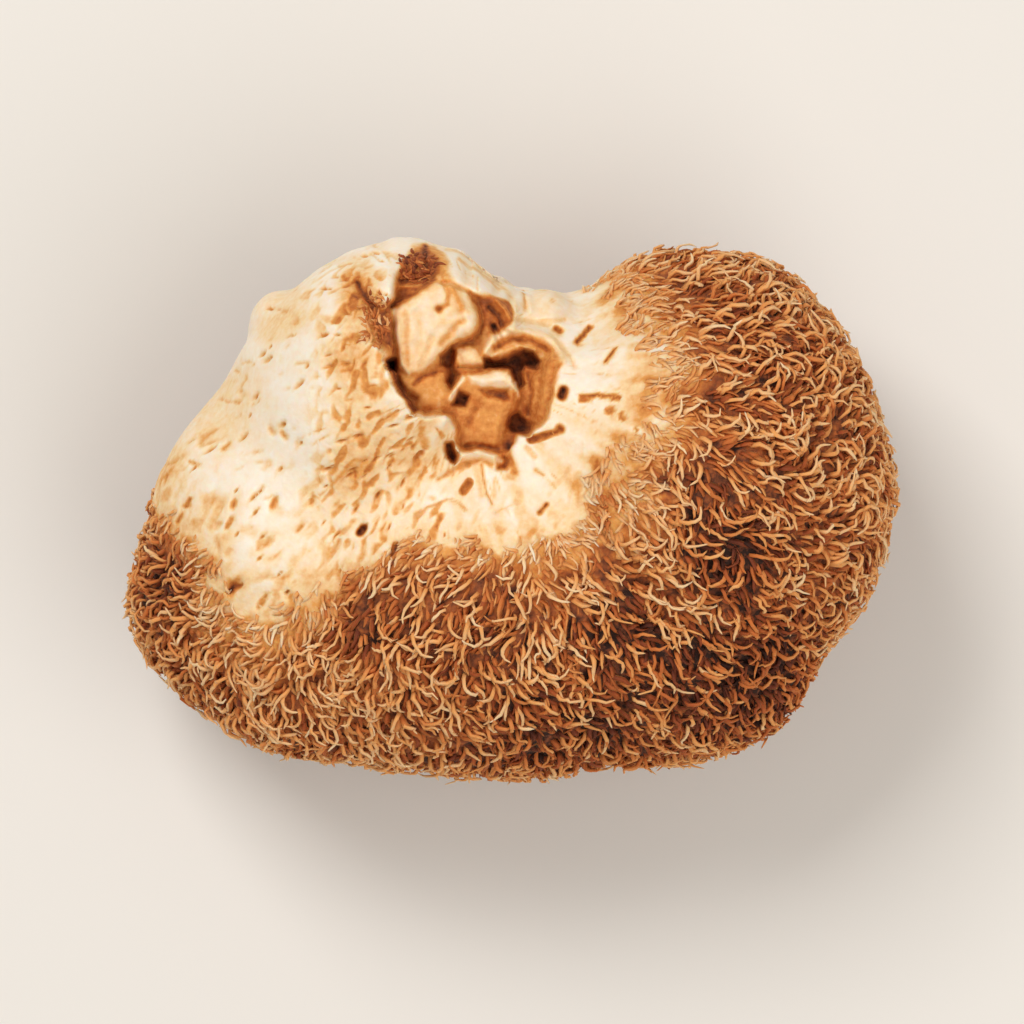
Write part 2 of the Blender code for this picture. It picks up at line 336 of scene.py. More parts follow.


# The torn hollow, seen from above. Each form has its kind, the height of its middle, its rise for each
# millimetre in x and in y, its tone, the width of its edge, and the x and y of each point of its outline. A
# "cut" only lowers the flesh, and a "heap" only raises what was cut before it.
# The cuts get darker tones than the heaps, darkest in the small holes: partly the browner flesh inside,
# partly painted shade in the holes.
TORN_FORMS = {
    "floor": ("cut", 30.1, -0.28, 0.05, 0.54, 0.36,
      -9.1, 15.2, -9.3, 14, -9.2, 12.4, -9.3, 11.2, -9, 10.2, -8.8, 9.4, -8.3, 8.7, -7.7, 8, -7.4, 7.3,
      -6.6, 7, -5.4, 7.1, -4.5, 6.9, -4.1, 6, -4.2, 5.2, -3.9, 4.5, -2.6, 4.5, -1.3, 4.2, -0.7, 4.4, -0.2,
      4.5, 0.2, 5, 0.4, 5.6, 1.2, 5.8, 2, 6.4, 2.6, 7.2, 2.9, 8.4, 3, 9.4, 3.4, 10.3, 3.6, 11.2, 3.3, 12.1,
      2.4, 12.8, 1.2, 13.2, 0.2, 13.3, -0.4, 13.7, 0, 14.2, 0.2, 15, -0.2, 15.8, -1.4, 16.1, -3, 16.3, -3.3,
      16.6, -4.4, 17, -5.9, 17.3, -7.5, 16.3),
    "back_pit": ("cut", 30.6, 0.1, -0.55, 0.62, 0.5,
      -9.2, 15.1, -8.9, 16.4, -8.6, 17.6, -8.2, 18.8, -7.4, 19.8, -6.6, 20.1, -5.6, 19.6, -5.1, 18.6, -5.2,
      17.7, -6, 17.3, -7.4, 16.3),
    "left_pit": ("cut", 34.0, -0.5, 0.0, 0.7, 0.6,
      -10.8, 15.1, -9.2, 15.3, -8.9, 13.9, -8.8, 12, -9.6, 11.9, -10.3, 12.7, -10.8, 13.8),
    "left_hole": ("cut", 30.5, 0.0, 0.0, 0.96, 0.25,
      -9.5, 11.2, -8.8, 11.3, -8.8, 10.4, -9.3, 10.5),
    "left_ledge": ("heap", 31.9, -0.15, 0.1, 0.3, 0.5,
      -8.5, 10.1, -7.2, 10.3, -6.2, 10.6, -5.1, 10.4, -4.7, 9.6, -4.5, 8.7, -4.8, 7.6, -5.6, 7.2, -6.8, 7.4,
      -7.5, 8.1, -8.2, 8.9, -8.6, 9.6),
    "tall_shred": ("heap", 32.6, -0.22, 0.14, 0.09, 0.38,
      -8.9, 15.1, -7.5, 16.2, -5.9, 17.2, -4.2, 16.8, -3.2, 16.4, -2.85, 15.6, -2.6, 14.8, -2.6, 13.9, -3.1,
      13, -4, 12.6, -4.8, 12.1, -5.4, 11.4, -6.1, 10.7, -7, 10.1, -7.9, 10.1, -8.3, 10.8, -8.6, 12.4, -8.8,
      13.8),
    "shred_edge": ("heap", 32.6, -0.1, 0.1, 0.05, 0.45,
      -4.6, 14.6, -3.6, 15.4, -2.9, 15.2, -2.6, 14.6, -2.65, 13.8, -3.1, 13.1, -4.2, 12.7, -4.6, 13),
    "back_ledge": ("heap", 28.9, -0.2, 0.55, 0.52, 0.3,
      -0.6, 13.6, 0, 14.2, 0.1, 15, -0.4, 15.8, -1.6, 16, -2.8, 16, -2.3, 15.2, -2, 14.4, -1.7, 13.9, -1.2,
      13.2),
    "back_chip": ("heap", 30.2, 0.0, 0.2, 0.24, 0.35,
      -2.5, 13.7, -2, 13.8, -1.6, 13.2, -1.3, 12.4, -1.9, 12, -2.4, 12.4, -2.6, 13.1),
    "flap": ("heap", 29.0, 0.05, 0.55, 0.26, 0.25,
      -2, 11.4, -1.7, 12.3, -0.9, 13, 0.1, 13.4, 1.2, 13.4, 2.3, 13, 3.2, 12.2, 3.6, 11.2, 3, 10.6, 2.3,
      10.7, 2.1, 11.3, 1.6, 11.9, 0.9, 12.2, 0.1, 11.9, -0.8, 11.5),
    "right_wall": ("heap", 29.9, 1.05, 0.0, 0.34, 0.45,
      0.7, 10.4, 1.4, 10.3, 2.1, 10.7, 2.3, 11.2, 3, 12, 3.7, 11.2, 3.3, 9.8, 3.1, 8.2, 2.6, 6.9, 1.7, 6.1,
      1.4, 6.8, 0.9, 7.6, 0.6, 8.8, 0.5, 9.8),
    "middle_chip": ("heap", 30.9, 0.1, 0.15, 0.12, 0.22,
      -4.3, 12.1, -3.5, 12.4, -2.7, 12.1, -2, 11.2, -2.1, 10.8, -3, 10.5, -4, 10.6, -4.3, 11.4),
    "front_block": ("heap", 30.4, 0.0, 0.26, 0.36, 0.35,
      -4.6, 8.4, -4.2, 9.3, -3.5, 10.3, -0.3, 10.6, 0.1, 10, 0.5, 9, 0.5, 8.3, 0, 7, -0.4, 6, -0.5, 5, -1,
      4.3, -3.7, 4.4, -4, 5.2, -4, 6.4, -4.6, 7.6),
    "block_top": ("heap", 31.5, 0.0, 0.2, 0.04, 0.25,
      -3.4, 10.1, -0.3, 10.5, 0.2, 9.8, 0.4, 8.9, -0.4, 9.1, -1.4, 9.2, -2.4, 9.1, -3.1, 9.5),
    "block_hole": ("cut", 29.3, 0.0, 0.0, 0.88, 0.3,
      -4.5, 7.9, -4.1, 9, -3.3, 8.5, -3.5, 7.7),
    "block_slot": ("cut", 30.0, 0.0, 0.0, 0.7, 0.3,
      -2.4, 9, -1.2, 8.95, -0.4, 8.95, -0.2, 8.3, -0.9, 8.3, -1.8, 8.4),
    "chip_gap": ("cut", 29.2, 0.0, 0.0, 0.66, 0.3,
      -5.4, 11.5, -4.6, 12.2, -4.35, 12, -4.45, 10.8, -4, 10.2, -4.6, 9.1, -4.95, 9.6, -4.8, 10.6, -5.3, 11),
    "flap_hollow": ("cut", 27.0, 0.0, 0.0, 0.8, 0.3,
      -2.1, 11.4, -1.4, 11.2, -0.4, 11.4, 0.2, 11.8, 0.9, 12.1, 1.5, 11.9, 2, 11.2, 1.8, 10.7, 1, 10.9, 0.7,
      10.4, 0.9, 9.5, 0.5, 9.1, 0.2, 9.7, -0.1, 10.6, -0.8, 10.8, -2, 10.8),
    "right_hole": ("cut", 27.8, 0.0, 0.0, 0.82, 0.35,
      -0.1, 7.1, 0.4, 7.2, 0.9, 6.8, 1.5, 6.1, 1.2, 5.8, 0.5, 5.7, -0.1, 5.9, -0.3, 6.3),
    "front_hole": ("cut", 29.2, 0.0, 0.0, 0.8, 0.25,
      -0.7, 5.2, -0.2, 5.3, 0.1, 4.9, -0.2, 4.4, -0.6, 4.5),
    "rim_notch": ("cut", 29.6, 0.0, 0.0, 0.72, 0.3,
      -1.2, 3.9, -0.6, 4.1, -0.2, 3.7, -0.4, 3, -1.1, 3),
    "rim_slit": ("cut", 29.8, 0.0, 0.0, 0.82, 0.25,
      -5.1, 5, -4.6, 5, -4.2, 4, -4.4, 3.4, -4.9, 3.8),
}

# Places where the bare skin is more golden: centre, half sizes, change of tone.
SKIN_SPOTS = (
    (-22.5, 8.0, 4.0, 4.5, 0.1), (-17.5, 15.5, 3.0, 3.0, 0.08), (-12.2, 11.5, 2.4, 2.2, 0.2),
    (-11.6, 16.0, 1.8, 3.0, 0.26), (-11.5, 6.0, 2.6, 4.5, 0.12), (-9.5, 1.6, 3.5, 3.2, 0.05),
    (-6.8, 4.6, 3.2, 3.4, 0.1), (-12.5, 2.5, 2.4, 2.6, 0.08), (-27.0, 2.0, 2.6, 3.6, 0.12),
    (-17.5, -6.0, 4.5, 3.0, 0.07), (-2.5, 18.0, 3.5, 2.0, 0.04), (6.8, 1.8, 3.0, 2.4, 0.13),
    (9.8, 7.6, 2.2, 3.4, 0.08), (2.8, 15.5, 2.2, 1.6, 0.05),
)

# Lines on the flesh, seen from above: half width, depth (a ridge where it is below 0), tone, and the x and y
# of each point. A groove darkens what it crosses, partly the browner flesh of a slit and partly painted
# shade in it. The tone of a ridge lightens what it crosses, as a painted highlight.
TORN_LINES = (
    (0.24, 0.9, 0.76, -9.2, 10.9, -8.7, 9.6, -8.1, 8.5, -7.4, 7.4),
    (0.32, 1.0, 0.8, -11.7, 17.1, -11.1, 16, -10.4, 15.2),
    (0.24, -0.9, 0.02, -10.4, 15.7, -9.8, 15.2),
    (0.26, 0.5, 0.66, -9.1, 15.3, -7.4, 16.4, -6, 17.35),
    (0.2, 0.4, 0.78, -8.4, 17.3, -7.1, 17.3, -6.1, 17.9),
    (0.2, -0.4, 0.44, -8.6, 16.8, -7.2, 16.8, -6.4, 17.3),
    (0.22, 0.4, 0.82, -6.6, 20, -6.6, 19, -6.4, 18.3),
    (0.25, -0.4, 0.46, -7.8, 18.8, -7.4, 18),
    (0.2, 0.35, 0.58, -3.2, 16.3, -2.5, 15.4, -2.25, 14.4, -2.4, 13.3, -3.1, 12.8, -4.4, 12.35, -5.3, 11.5),
    (0.34, -0.25, 0.3, -5.9, 20, -5.3, 19, -5, 17.7, -4.5, 16.5, -3.8, 15.2),
    (0.2, 0.25, 0.32, -5.4, 18.2, -5.2, 17.2, -4.8, 16.2, -4.9, 15.4, -5.5, 15.1),
    (0.26, 0.3, 0.46, -5.6, 15.1, -5.5, 15.05),
    (0.24, 0.16, 0.24, -8.1, 14.8, -7.95, 14.1, -8, 12.6, -7.9, 10.9),
    (0.3, 0.18, 0.14, -7.2, 14.7, -6.9, 13.4, -7.1, 12, -7.6, 10.7),
    (0.28, 0.18, 0.2, -6.1, 12.9, -6.4, 11.9, -7, 10.9),
    (0.26, 0.28, 0.28, -5.3, 12.5, -4.6, 13.3, -4.2, 13.9, -3.7, 14.2),
    (0.2, -0.3, 0.14, -8.9, 15, -8.55, 12.6, -8.3, 10.8, -7.8, 10.2),
    (0.22, -0.35, 0.42, -1.2, 15.8, -0.6, 15.2, -0.2, 14.5),
    (0.24, 0.5, 0.74, -1.7, 15.3, -1.1, 14.7, -0.8, 13.9),
    (0.24, 0.8, 0.88, -1.4, 13.9, -1.1, 13.2, -0.9, 12.8),
    (0.42, -0.65, 0.12, -2, 11.9, -1.3, 12.9, -0.1, 13.5, 1.2, 13.7, 2.4, 13.4, 3.3, 12.7, 3.9, 11.6),
    (0.2, 0.35, 0.56, -1.3, 12.2, 0, 12.9, 1.4, 12.8, 2.8, 12),
    (0.18, -0.3, 0.26, -1.5, 11.6, -0.5, 12, 0.6, 12.4, 1.7, 12.1),
    (0.2, 0.35, 0.64, 1.2, 10.2, 1.5, 8.8, 1.2, 7.2),
    (0.24, 0.25, 0.44, 2.2, 10.6, 2.1, 9, 1.7, 7),
    (0.2, -0.3, 0.12, 0.2, 15.9, 0.45, 14.9, 0.2, 14),
    (0.2, 0.35, 0.66, -7.4, 9.4, -6.7, 10, -5.8, 10.3),
    (0.24, 0.4, 0.6, -8, 8.6, -7.3, 8.3),
    (0.24, -0.5, 0.08, -4.65, 8.3, -4.2, 9.1, -3.7, 9.9),
    (0.16, -0.3, 0.1, 0.25, 9.6, 0.5, 8.5),
    (0.16, 0.6, 0.36, -4.1, 10.75, -3, 10.65, -2.2, 10.85),
    (0.3, 0.15, 0.52, -3.4, 6.2, -2.9, 7.4, -2.4, 7.9),
    (0.3, -0.15, 0.34, -1.3, 5.6, -1, 6.6, -0.9, 7.4),
    (0.26, 0.5, 0.66, -3.4, 4.7, -2.2, 4.7, -1, 4.4),
    (0.3, -0.5, 0.1, -3.7, 3.9, -2.7, 4.3, -1.6, 4.1, -0.9, 3.6),
    (0.24, 0.35, 0.34, -3.4, 3.4, -2.4, 3.75, -1.5, 3.3),
    (0.22, 0.35, 0.3, -5.6, 2.2, -4.4, 2.9, -3.4, 3.4),
    (0.34, 0.25, 0.17, -2.7, 3.4, -2.45, 2, -2.3, 1),
    (0.15, 0.3, 0.32, -2.3, 3.3, -2.15, 2.2, -1.9, 1.1, -1.5, 0.3),
    (0.13, 0.25, 0.24, -7, -0.5, -6.4, 0.1, -5.6, 0.3, -4.9, 0.7),
    (0.13, 0.3, 0.26, -4.6, 0.7, -4.1, 0.5, -3.5, -0.1),
    (0.36, 0.3, 0.4, -0.3, 4.2, 0.2, 2.8),
    (0.2, 0.5, 0.56, -3.7, 1.3, -3.25, 2),
    (0.22, 0.3, 0.32, -5.7, 6, -5.2, 5.3),
    (0.22, 0.25, 0.18, -4.9, 19.9, -3, 19, -1.2, 17.6, 0, 16.2),
    (0.2, 0.2, 0.2, -4.1, 18.9, -2.4, 18.1, -0.9, 16.9),
    (0.24, 0.3, 0.26, -0.2, 18.1, 0.8, 16.9, 1.05, 15.3),
    (0.22, -0.35, 0.06, 0.4, 17.7, 1.3, 16.6, 1.4, 15),
    (0.28, 0.35, 0.16, 0.4, 14.4, 1.6, 14.3, 2.8, 14.1),
    (0.2, 0.2, 0.18, 2.2, 14.3, 4, 14.5),
    (0.3, 0.7, 0.66, 3.4, 13.7, 3.6, 13.55),
    (0.2, 0.55, 0.72, 4.9, 12.7, 5.4, 13.2, 5.9, 13.9),
    (0.19, 0.45, 0.62, 7.1, 11.1, 7.5, 11.6, 7.9, 12.1),
    (0.3, 0.9, 0.95, 3.75, 8.6, 3.9, 9),
    (0.19, 0.45, 0.6, 5.3, 8.35, 6.4, 8.6, 8.1, 8.35),
    (0.22, 0.3, 0.56, 5.3, 8.35, 5.7, 8.4),
    (0.24, 0.4, 0.46, 7.2, 7.4, 7.5, 7.4),
    (0.2, 0.4, 0.5, 8.2, 7.1, 8.4, 6.8),
    (0.22, 0.4, 0.46, 9.4, 6, 9.6, 5.7),
    (0.22, 0.3, 0.16, 3, 13.3, 4, 12.2, 4.8, 10.7),
    (0.2, 0.55, 0.6, 1.4, 5.2, 2.4, 5.5, 3.4, 5.8),
    (0.26, 0.5, 0.66, 3.6, 6.1, 3.75, 6),
    (0.2, 0.25, 0.22, 1.1, 4.6, 1.7, 3.9),
    (0.2, 0.25, 0.26, 1.8, 2.9, 2.4, 2.5),
    (0.2, 0.5, 0.52, 2.1, -0.3, 2.6, 0.3),
    (0.24, 0.25, 0.14, -1.2, -0.3, 0.4, 0.4),
    (0.3, 0.7, 0.84, -11.5, -1.8, -11.3, -1.5),
    (0.24, 0.4, 0.42, -18.2, 0.2, -17.9, 0.7),
    (0.2, 0.35, 0.4, -21.2, 0.2, -21.1, 0.6),
    (0.2, 0.35, 0.38, -21.7, -1.4, -21.3, -0.7),
    (0.24, 0.35, 0.3, -22.5, -1.2, -22.3, -1.1),
    (0.2, 0.35, 0.36, -15.2, 0.4, -15.1, 1),
    (0.24, 0.4, 0.44, -24.8, 0.3, -24.5, 0.8),
    (0.24, 0.4, 0.5, -25.5, -0.9, -25.1, -0.4),
    (0.26, 0.4, 0.36, -21.9, 4.6, -21.5, 5),
    (0.2, 0.3, 0.3, -24.6, 3.7, -23.8, 3.4),
    (0.2, 0.35, 0.32, -19.2, -3, -18.3, -2.5),
    (0.2, 0.35, 0.34, -16.3, -1.7, -15.8, -1.2),
    (0.28, 0.35, 0.26, -18.3, 6.1, -18.1, 5.8),
    (0.24, 0.35, 0.32, -17.4, 5.8, -17.1, 5.4),
    (0.34, 0.7, 0.9, -21.4, -6.2, -21.1, -5.8),
    (0.2, 0.35, 0.4, -19.3, -7.5, -18.6, -6.5),
    (0.2, 0.35, 0.42, -17.1, -6.3, -16.7, -6.8),
    (0.22, 0.35, 0.28, -13.6, -3.4, -13.1, -2.4),
    (0.24, 0.6, 0.8, -9.1, -4.1, -8.8, -2.8),
)

# The part of the head that the forms and lines can change, and how far it has to look upwards.
TEAR_BOX = (-30.0, -10.0, 18.0), (9.5, 21.0, 60.0)
FACING_UP = 0.12
GRAIN_FLATNESS = 0.3
GRAIN_HEIGHT = 0.14
GRAIN_TONE = 0.06
EDGE_WANDER = 0.16
# Round the edge of each heap its top drops and its tone darkens: the darker tone is painted shade on the
# rounded rim.
RIM_BAND = (-0.9, 0.1)
RIM_DROP = 0.45
RIM_PAINTED_SHADE = 0.12
FAR = 1e9


def pairs(numbers):
    """Points from their x and y in turn."""
    return list(zip(numbers[::2], numbers[1::2]))


def within(box_low, box_high, points):
    return np.all((points > np.array(box_low)) & (points < np.array(box_high)), axis=1)


def tear_open(flesh):
    """Shapes the hollow, its shreds and the slits of the skin, and returns their share and tone: the browns
    of the torn flesh together with painted shade in its holes, grooves and shred rims and painted highlights
    along its ridges.
    """
    points = read_points(flesh)
    rows = np.nonzero(within(*TEAR_BOX, points) & (read_normals(flesh)[:, 2] > FACING_UP))[0]
    plan = points[rows, :2]
    height = points[rows, 2]
    torn = np.zeros(len(rows))
    tone = np.zeros(len(rows))
    grain = pattern("torn_grain", np.column_stack((plan, height * GRAIN_FLATNESS)))
    wander = EDGE_WANDER * pattern("torn_edge", np.column_stack((plan, np.zeros(len(rows)))))
    for kind, level, rise_x, rise_y, new_tone, edge, *outline in TORN_FORMS.values():
        away = outline_distance(plan, pairs(outline)) + wander
        share = ease(edge, -edge, away)
        from_middle = plan - np.mean(pairs(outline), axis=0)
        top = level + rise_x * from_middle[:, 0] + rise_y * from_middle[:, 1] + GRAIN_HEIGHT * grain
        rim = ease(*RIM_BAND, away) if kind == "heap" else 0.0
        top = top - RIM_DROP * rim
        changed = np.minimum(height, top) if kind == "cut" else np.maximum(height, top)
        height = height + (changed - height) * share
        # A heap's rounded rim gets painted shade.
        tone = tone + (new_tone + RIM_PAINTED_SHADE * rim - tone) * share
        torn = np.maximum(torn, share)
    tone += GRAIN_TONE * torn * grain
    for half, depth, new_tone, *line in TORN_LINES:
        away = np.full(len(rows), FAR)
        for start, end in zip(pairs(line), pairs(line)[1:]):
            away = np.minimum(away, segment_distance(plan, start, end))
        dent = np.exp(-((away + 0.5 * wander) / half) ** 2)
        height -= depth * dent
        # Grooves darken as painted shade, partly the slit's own brown; ridges lighten as painted highlights.
        mixed = tone + (new_tone - tone) * dent
        tone = mixed if depth < 0 else np.maximum(tone, mixed)
    points[rows, 2] = height
    write_points(flesh, points)
    torn_share = np.zeros(len(points))
    torn_share[rows] = torn
    torn_tone_and_shade = np.zeros(len(points))
    torn_tone_and_shade[rows] = tone
    return torn_share, torn_tone_and_shade


# Short pits of the flank.
PIT_SEED = 5
PIT_COUNT = 90
PIT_HALF_WIDTH = 0.17
PIT_HALF_LENGTH = 0.55
PIT_SIZES = 0.5, 1.1
PIT_DEPTH = 0.40
# A pit's tone follows its dent: partly the brown of the slit, partly painted shade in it.
PIT_TONE = 0.44
PIT_REACH = 2.0
PIT_DEEPEST_IN_MANE = -0.4
PITS_LOWEST = 14.0

# The way that the folds and the strands run: away from the tear, turned by a slow swirl.
SWIRL_TURN = 0.9
SWIRL_SIZE = 11.0
FLOW_REACH = 15.0
FOLD_STRETCH = np.array((1.0, 0.35, 1.0))
STREAK_STRETCH = np.array((1.0, 0.22, 1.0))

# The right edge of the flank at some values of y, and half the width over which it blends.
FLANK_EDGE_Y = -2.0, 1.0, 4.0, 6.5, 8.5, 20.0
FLANK_EDGE_X = -4.0, -5.2, -5.8, -6.8, -8.8, -9.5
FLANK_BLEND = 0.7

# Where the curly flesh left of the hollow begins and ends, and how curly the flesh by the mane is.
CURLY_LEFT = (-16.5, -13.0)
CURLY_BACK = (19.5, 17.0)
CURLY_BY_MANE = 0.5

# Where the fringe of low curls lies, and what it adds to the tone of the skin.
FRINGE_X = (4.0, 7.0)
FRINGE_Y = (-0.5, 2.5)
FRINGE_LOWEST = 20.0
FRINGE_SKIN_TONE = 0.12
FRINGE_STREAK_TONE = 0.16

# What the noises are bent by, and the skewed axes of the golden marks.
WARP_SIZE = 1.6
WARP_SHIFTS = (2.0, 6.0, 9.0)
CURL_WARP = 0.9
MARK_WARP = 0.8
STREAK_WARP = 0.5
MARK_ACROSS = np.array((1.7, -0.8, 0.0))
MARK_ALONG = np.array((0.35, 0.7, 0.0))
MARK_UP = 0.7
MARK_SHARE = 0.27
MARK_EDGE = (0.02, 0.40)
LINE_WIDTH = 0.09
LINE_GAP_EDGE = (0.0, 0.35)
FOLD_SHADE_EDGE = (0.1, -0.5)
GROUND_DIP_SHADE_EDGE = (0.1, -0.4)

# Height of each pattern of the flesh, in millimetres, and what each adds to its tone.
RELIEF = {"folds": 0.22, "lines": -0.14, "curls": 0.10, "swells": 0.20, "soft_folds": 0.26,
          "soft_lines": -0.08, "streaks": 0.12, "marks": -0.12, "ground": 0.40, "torn": 0.05}
# Of the tints, folds and lines darken the troughs of the folds and the sunk lines as painted shade;
# soft_folds lightens the raised soft folds as a painted highlight and darkens their troughs, and soft_lines
# darkens the sunk lines, as painted shade.
TINTS = {"skin": 0.02, "folds": 0.06, "lines": 0.16, "smooth": 0.01, "golden": 0.05, "soft_folds": -0.09,
         "soft_lines": 0.14, "marks": 0.22, "streaks": 0.20}
# Of the ground tints, shaded_ground and dark_ground darken the flesh under the mane partly for its own brown
# and partly as painted shade between the strands, and mottled darkens the dips of its lumps as painted
# shade.
GROUND_TINTS = {"all": 0.02, "shaded_ground": 0.12, "dark_ground": 0.22, "mottled": 0.20}
ROUGH_FLATTENS = 0.75


def hang_direction(point, normal):
    """Along the surface, away from the tear, turned a little by a slow swirl."""
    away = point - TEAR
    flat = away - normal * away.dot(normal)
    swirl = SWIRL_TURN * noise.noise(point / SWIRL_SIZE)
    return Quaternion(normal, swirl) @ flat.normalized()


def flank_share(points):
    """1 on the flank left of the hollow, 0 on the smooth flesh in front of it and to its right."""
    edge = np.interp(points[:, 1], FLANK_EDGE_Y, FLANK_EDGE_X)
    return ease(FLANK_BLEND, -FLANK_BLEND, points[:, 0] - edge)


def fringe_share(points):
    """1 on the right, where low pale curls lie in front of the mane."""
    return ease(*FRINGE_X, points[:, 0]) * ease(*FRINGE_Y, points[:, 1]) * (points[:, 2] > FRINGE_LOWEST)


def rough_share(points, depth):
    """1 where the flesh is curly, and 0 where it is smooth."""
    by_hollow = ease(*CURLY_LEFT, points[:, 0]) * ease(*CURLY_BACK, points[:, 1]) * flank_share(points)
    return np.maximum(by_hollow, CURLY_BY_MANE * band("curly", depth))


def scatter_pits(points, normals, depth):
    """Where the pits of the flank are, which way each one runs, and its size."""
    chance = random.Random(PIT_SEED)
    wanted = (depth < PIT_DEEPEST_IN_MANE) & (flank_share(points) > 0.5) & (points[:, 2] > PITS_LOWEST)
    pits = []
    for row in chance.sample(list(np.nonzero(wanted)[0]), PIT_COUNT):
        place = Vector(points[row])
        pits.append((place, hang_direction(place, Vector(normals[row])), chance.uniform(*PIT_SIZES)))
    return pits


def flow_coordinates(points):
    """How far each point lies round the tear, and away from it."""
    offset = points - np.array(TEAR)
    round_it = np.arctan2(offset[:, 0], -offset[:, 1]) * FLOW_REACH
    return np.column_stack((round_it, np.linalg.norm(offset, axis=1), np.zeros(len(points))))


def read_skin(points, torn):
    """The patterns that the relief and the tone of the flesh share."""
    depth = mane_depth(points)
    bare = band("bare", depth)
    flank = flank_share(points)
    rough = rough_share(points, depth)
    flow = flow_coordinates(points)
    warp = np.column_stack([noise_at(points, WARP_SIZE, shift) for shift in WARP_SHIFTS])
    skewed = np.column_stack((points @ MARK_ACROSS, points @ MARK_ALONG, MARK_UP * points[:, 2]))
    marked = np.maximum(rough, MARK_SHARE * band("marked", depth))
    # Thin lines where a noise changes sign.
    lines = np.exp(-(pattern("lines", flow * STREAK_STRETCH) / LINE_WIDTH) ** 2)
    whole = bare * (1 - torn)
    return SimpleNamespace(
        depth=depth, bare=bare, torn=torn, flank=flank, rough=rough, open=whole, smooth=whole * (1 - flank),
        ground=band("ground", depth),
        by_mane=bare * band("streaked", depth),
        folds=pattern("folds", flow * FOLD_STRETCH),
        soft_folds=pattern("soft_folds", flow * FOLD_STRETCH),
        curls=pattern("curls", points + CURL_WARP * warp),
        streaks=pattern("streaks", flow * STREAK_STRETCH + STREAK_WARP * warp),
        lines=lines * ease(*LINE_GAP_EDGE, pattern("line_gaps", points)),
        marks=whole * marked * ease(*MARK_EDGE, pattern("marks", skewed + MARK_WARP * warp)),
        lumps=pattern("ground", points),
    )


def skin_relief(points, skin):
    """How far each point of the flesh is raised."""
    folded = RELIEF["folds"] * skin.folds + RELIEF["lines"] * skin.lines
    lift = skin.open * skin.flank * (1 - ROUGH_FLATTENS * skin.rough) * folded
    lift += skin.open * skin.rough * RELIEF["curls"] * skin.curls
    soft = RELIEF["soft_folds"] * skin.soft_folds + RELIEF["soft_lines"] * skin.lines
    lift += skin.smooth * (RELIEF["swells"] * pattern("swells", points) + soft)
    lift += skin.by_mane * RELIEF["streaks"] * skin.streaks + RELIEF["marks"] * skin.marks
    lift += skin.ground * RELIEF["ground"] * skin.lumps
    return lift + skin.torn * RELIEF["torn"] * pattern("torn_relief", points)


def skin_tone(points, skin):
    """Tone of the bare flesh."""
    # Darker in the troughs of the folds and in the sunk lines: painted shade.
    creased = TINTS["folds"] * ease(*FOLD_SHADE_EDGE, skin.folds) + TINTS["lines"] * skin.lines
    tone = TINTS["skin"] + skin.open * skin.flank * creased
    tone += skin.open * change_at(points, SKIN_SPOTS)
    # On the smooth flesh, paler on the raised soft folds and darker in their troughs and sunk lines: painted
    # highlight and painted shade.
    tone += skin.smooth * (TINTS["smooth"] + TINTS["golden"] * band("golden", skin.depth)
                           + TINTS["soft_folds"] * skin.soft_folds + TINTS["soft_lines"] * skin.lines)
    fringe = fringe_share(points) * skin.bare * band("fringe", skin.depth)
    tone += fringe * (FRINGE_SKIN_TONE + FRINGE_STREAK_TONE * skin.streaks)
    return tone + TINTS["marks"] * skin.marks + skin.by_mane * TINTS["streaks"] * skin.streaks


def ground_tone(points, skin):
    """Tone of the flesh under the mane: darker than its strands, partly the brown of that flesh and partly
    painted shade between the strands, with more painted shade in the dips of its lumps.
    """
    tone = mane_tone(points, skin.depth) + GROUND_TINTS["all"]
    for name in ("shaded_ground", "dark_ground"):
        tone += GROUND_TINTS[name] * band(name, skin.depth)
    # Darker in the dips of the ground lumps: painted shade.
    mottled = ease(*GROUND_DIP_SHADE_EDGE, skin.lumps) * band("ground_dip_shade", skin.depth)
    return tone + GROUND_TINTS["mottled"] * mottled


def texture_flesh(flesh, torn, torn_tone_and_shade):
    """Raises lumps and fibres, sinks pits, and returns the tone of every point."""
    points = read_points(flesh)
    normals = read_normals(flesh)
    skin = read_skin(points, torn)
    lift = skin_relief(points, skin)
    tone = skin_tone(points, skin)
    for place, way, size in scatter_pits(points, normals, skin.depth):
        away = points - np.array(place)
        near = np.nonzero(np.abs(away).max(1) < PIT_REACH)[0]
        along = away[near] @ np.array(way)
        across = np.sqrt(np.maximum((away[near] ** 2).sum(1) - along ** 2, 0.0))
        dent = np.exp(-(along / (PIT_HALF_LENGTH * size)) ** 2 - (across / (PIT_HALF_WIDTH * size)) ** 2)
        lift[near] -= PIT_DEPTH * size * dent * (1 - torn[near])
        # The pit's darker tone is partly painted shade in the dent.
        tone[near] = np.maximum(tone[near], PIT_TONE * dent * (1 - torn[near]))
    tone = tone * (1 - skin.ground) + skin.ground * ground_tone(points, skin)
    tone = np.maximum(tone, mane_tone(points, skin.depth) * skin.open)
    island, island_tone = island_depth(points)
    tone = np.where(island > 0, np.maximum(tone, island_tone * ease(0.0, 0.8, island)), tone)
    write_points(flesh, points + normals * lift[:, None])
    # Where the torn tone, with its painted shade, is darker, it wins.
    return np.maximum(tone, torn_tone_and_shade)


def give_tone(piece, tone):
    attribute = piece.data.attributes.new("tone", "FLOAT", "POINT")
    attribute.data.foreach_set("value", np.clip(tone, 0.0, 1.0).astype(np.float32))


# Where the mesh of the flesh is split once, and the box where it is split once more.
FINE_DEPTH = 1.2
FINE_LOWEST = 12.0
FINEST_BOX = (-14.5, -2.5, 24.0), (4.6, 20.3, 60.0)


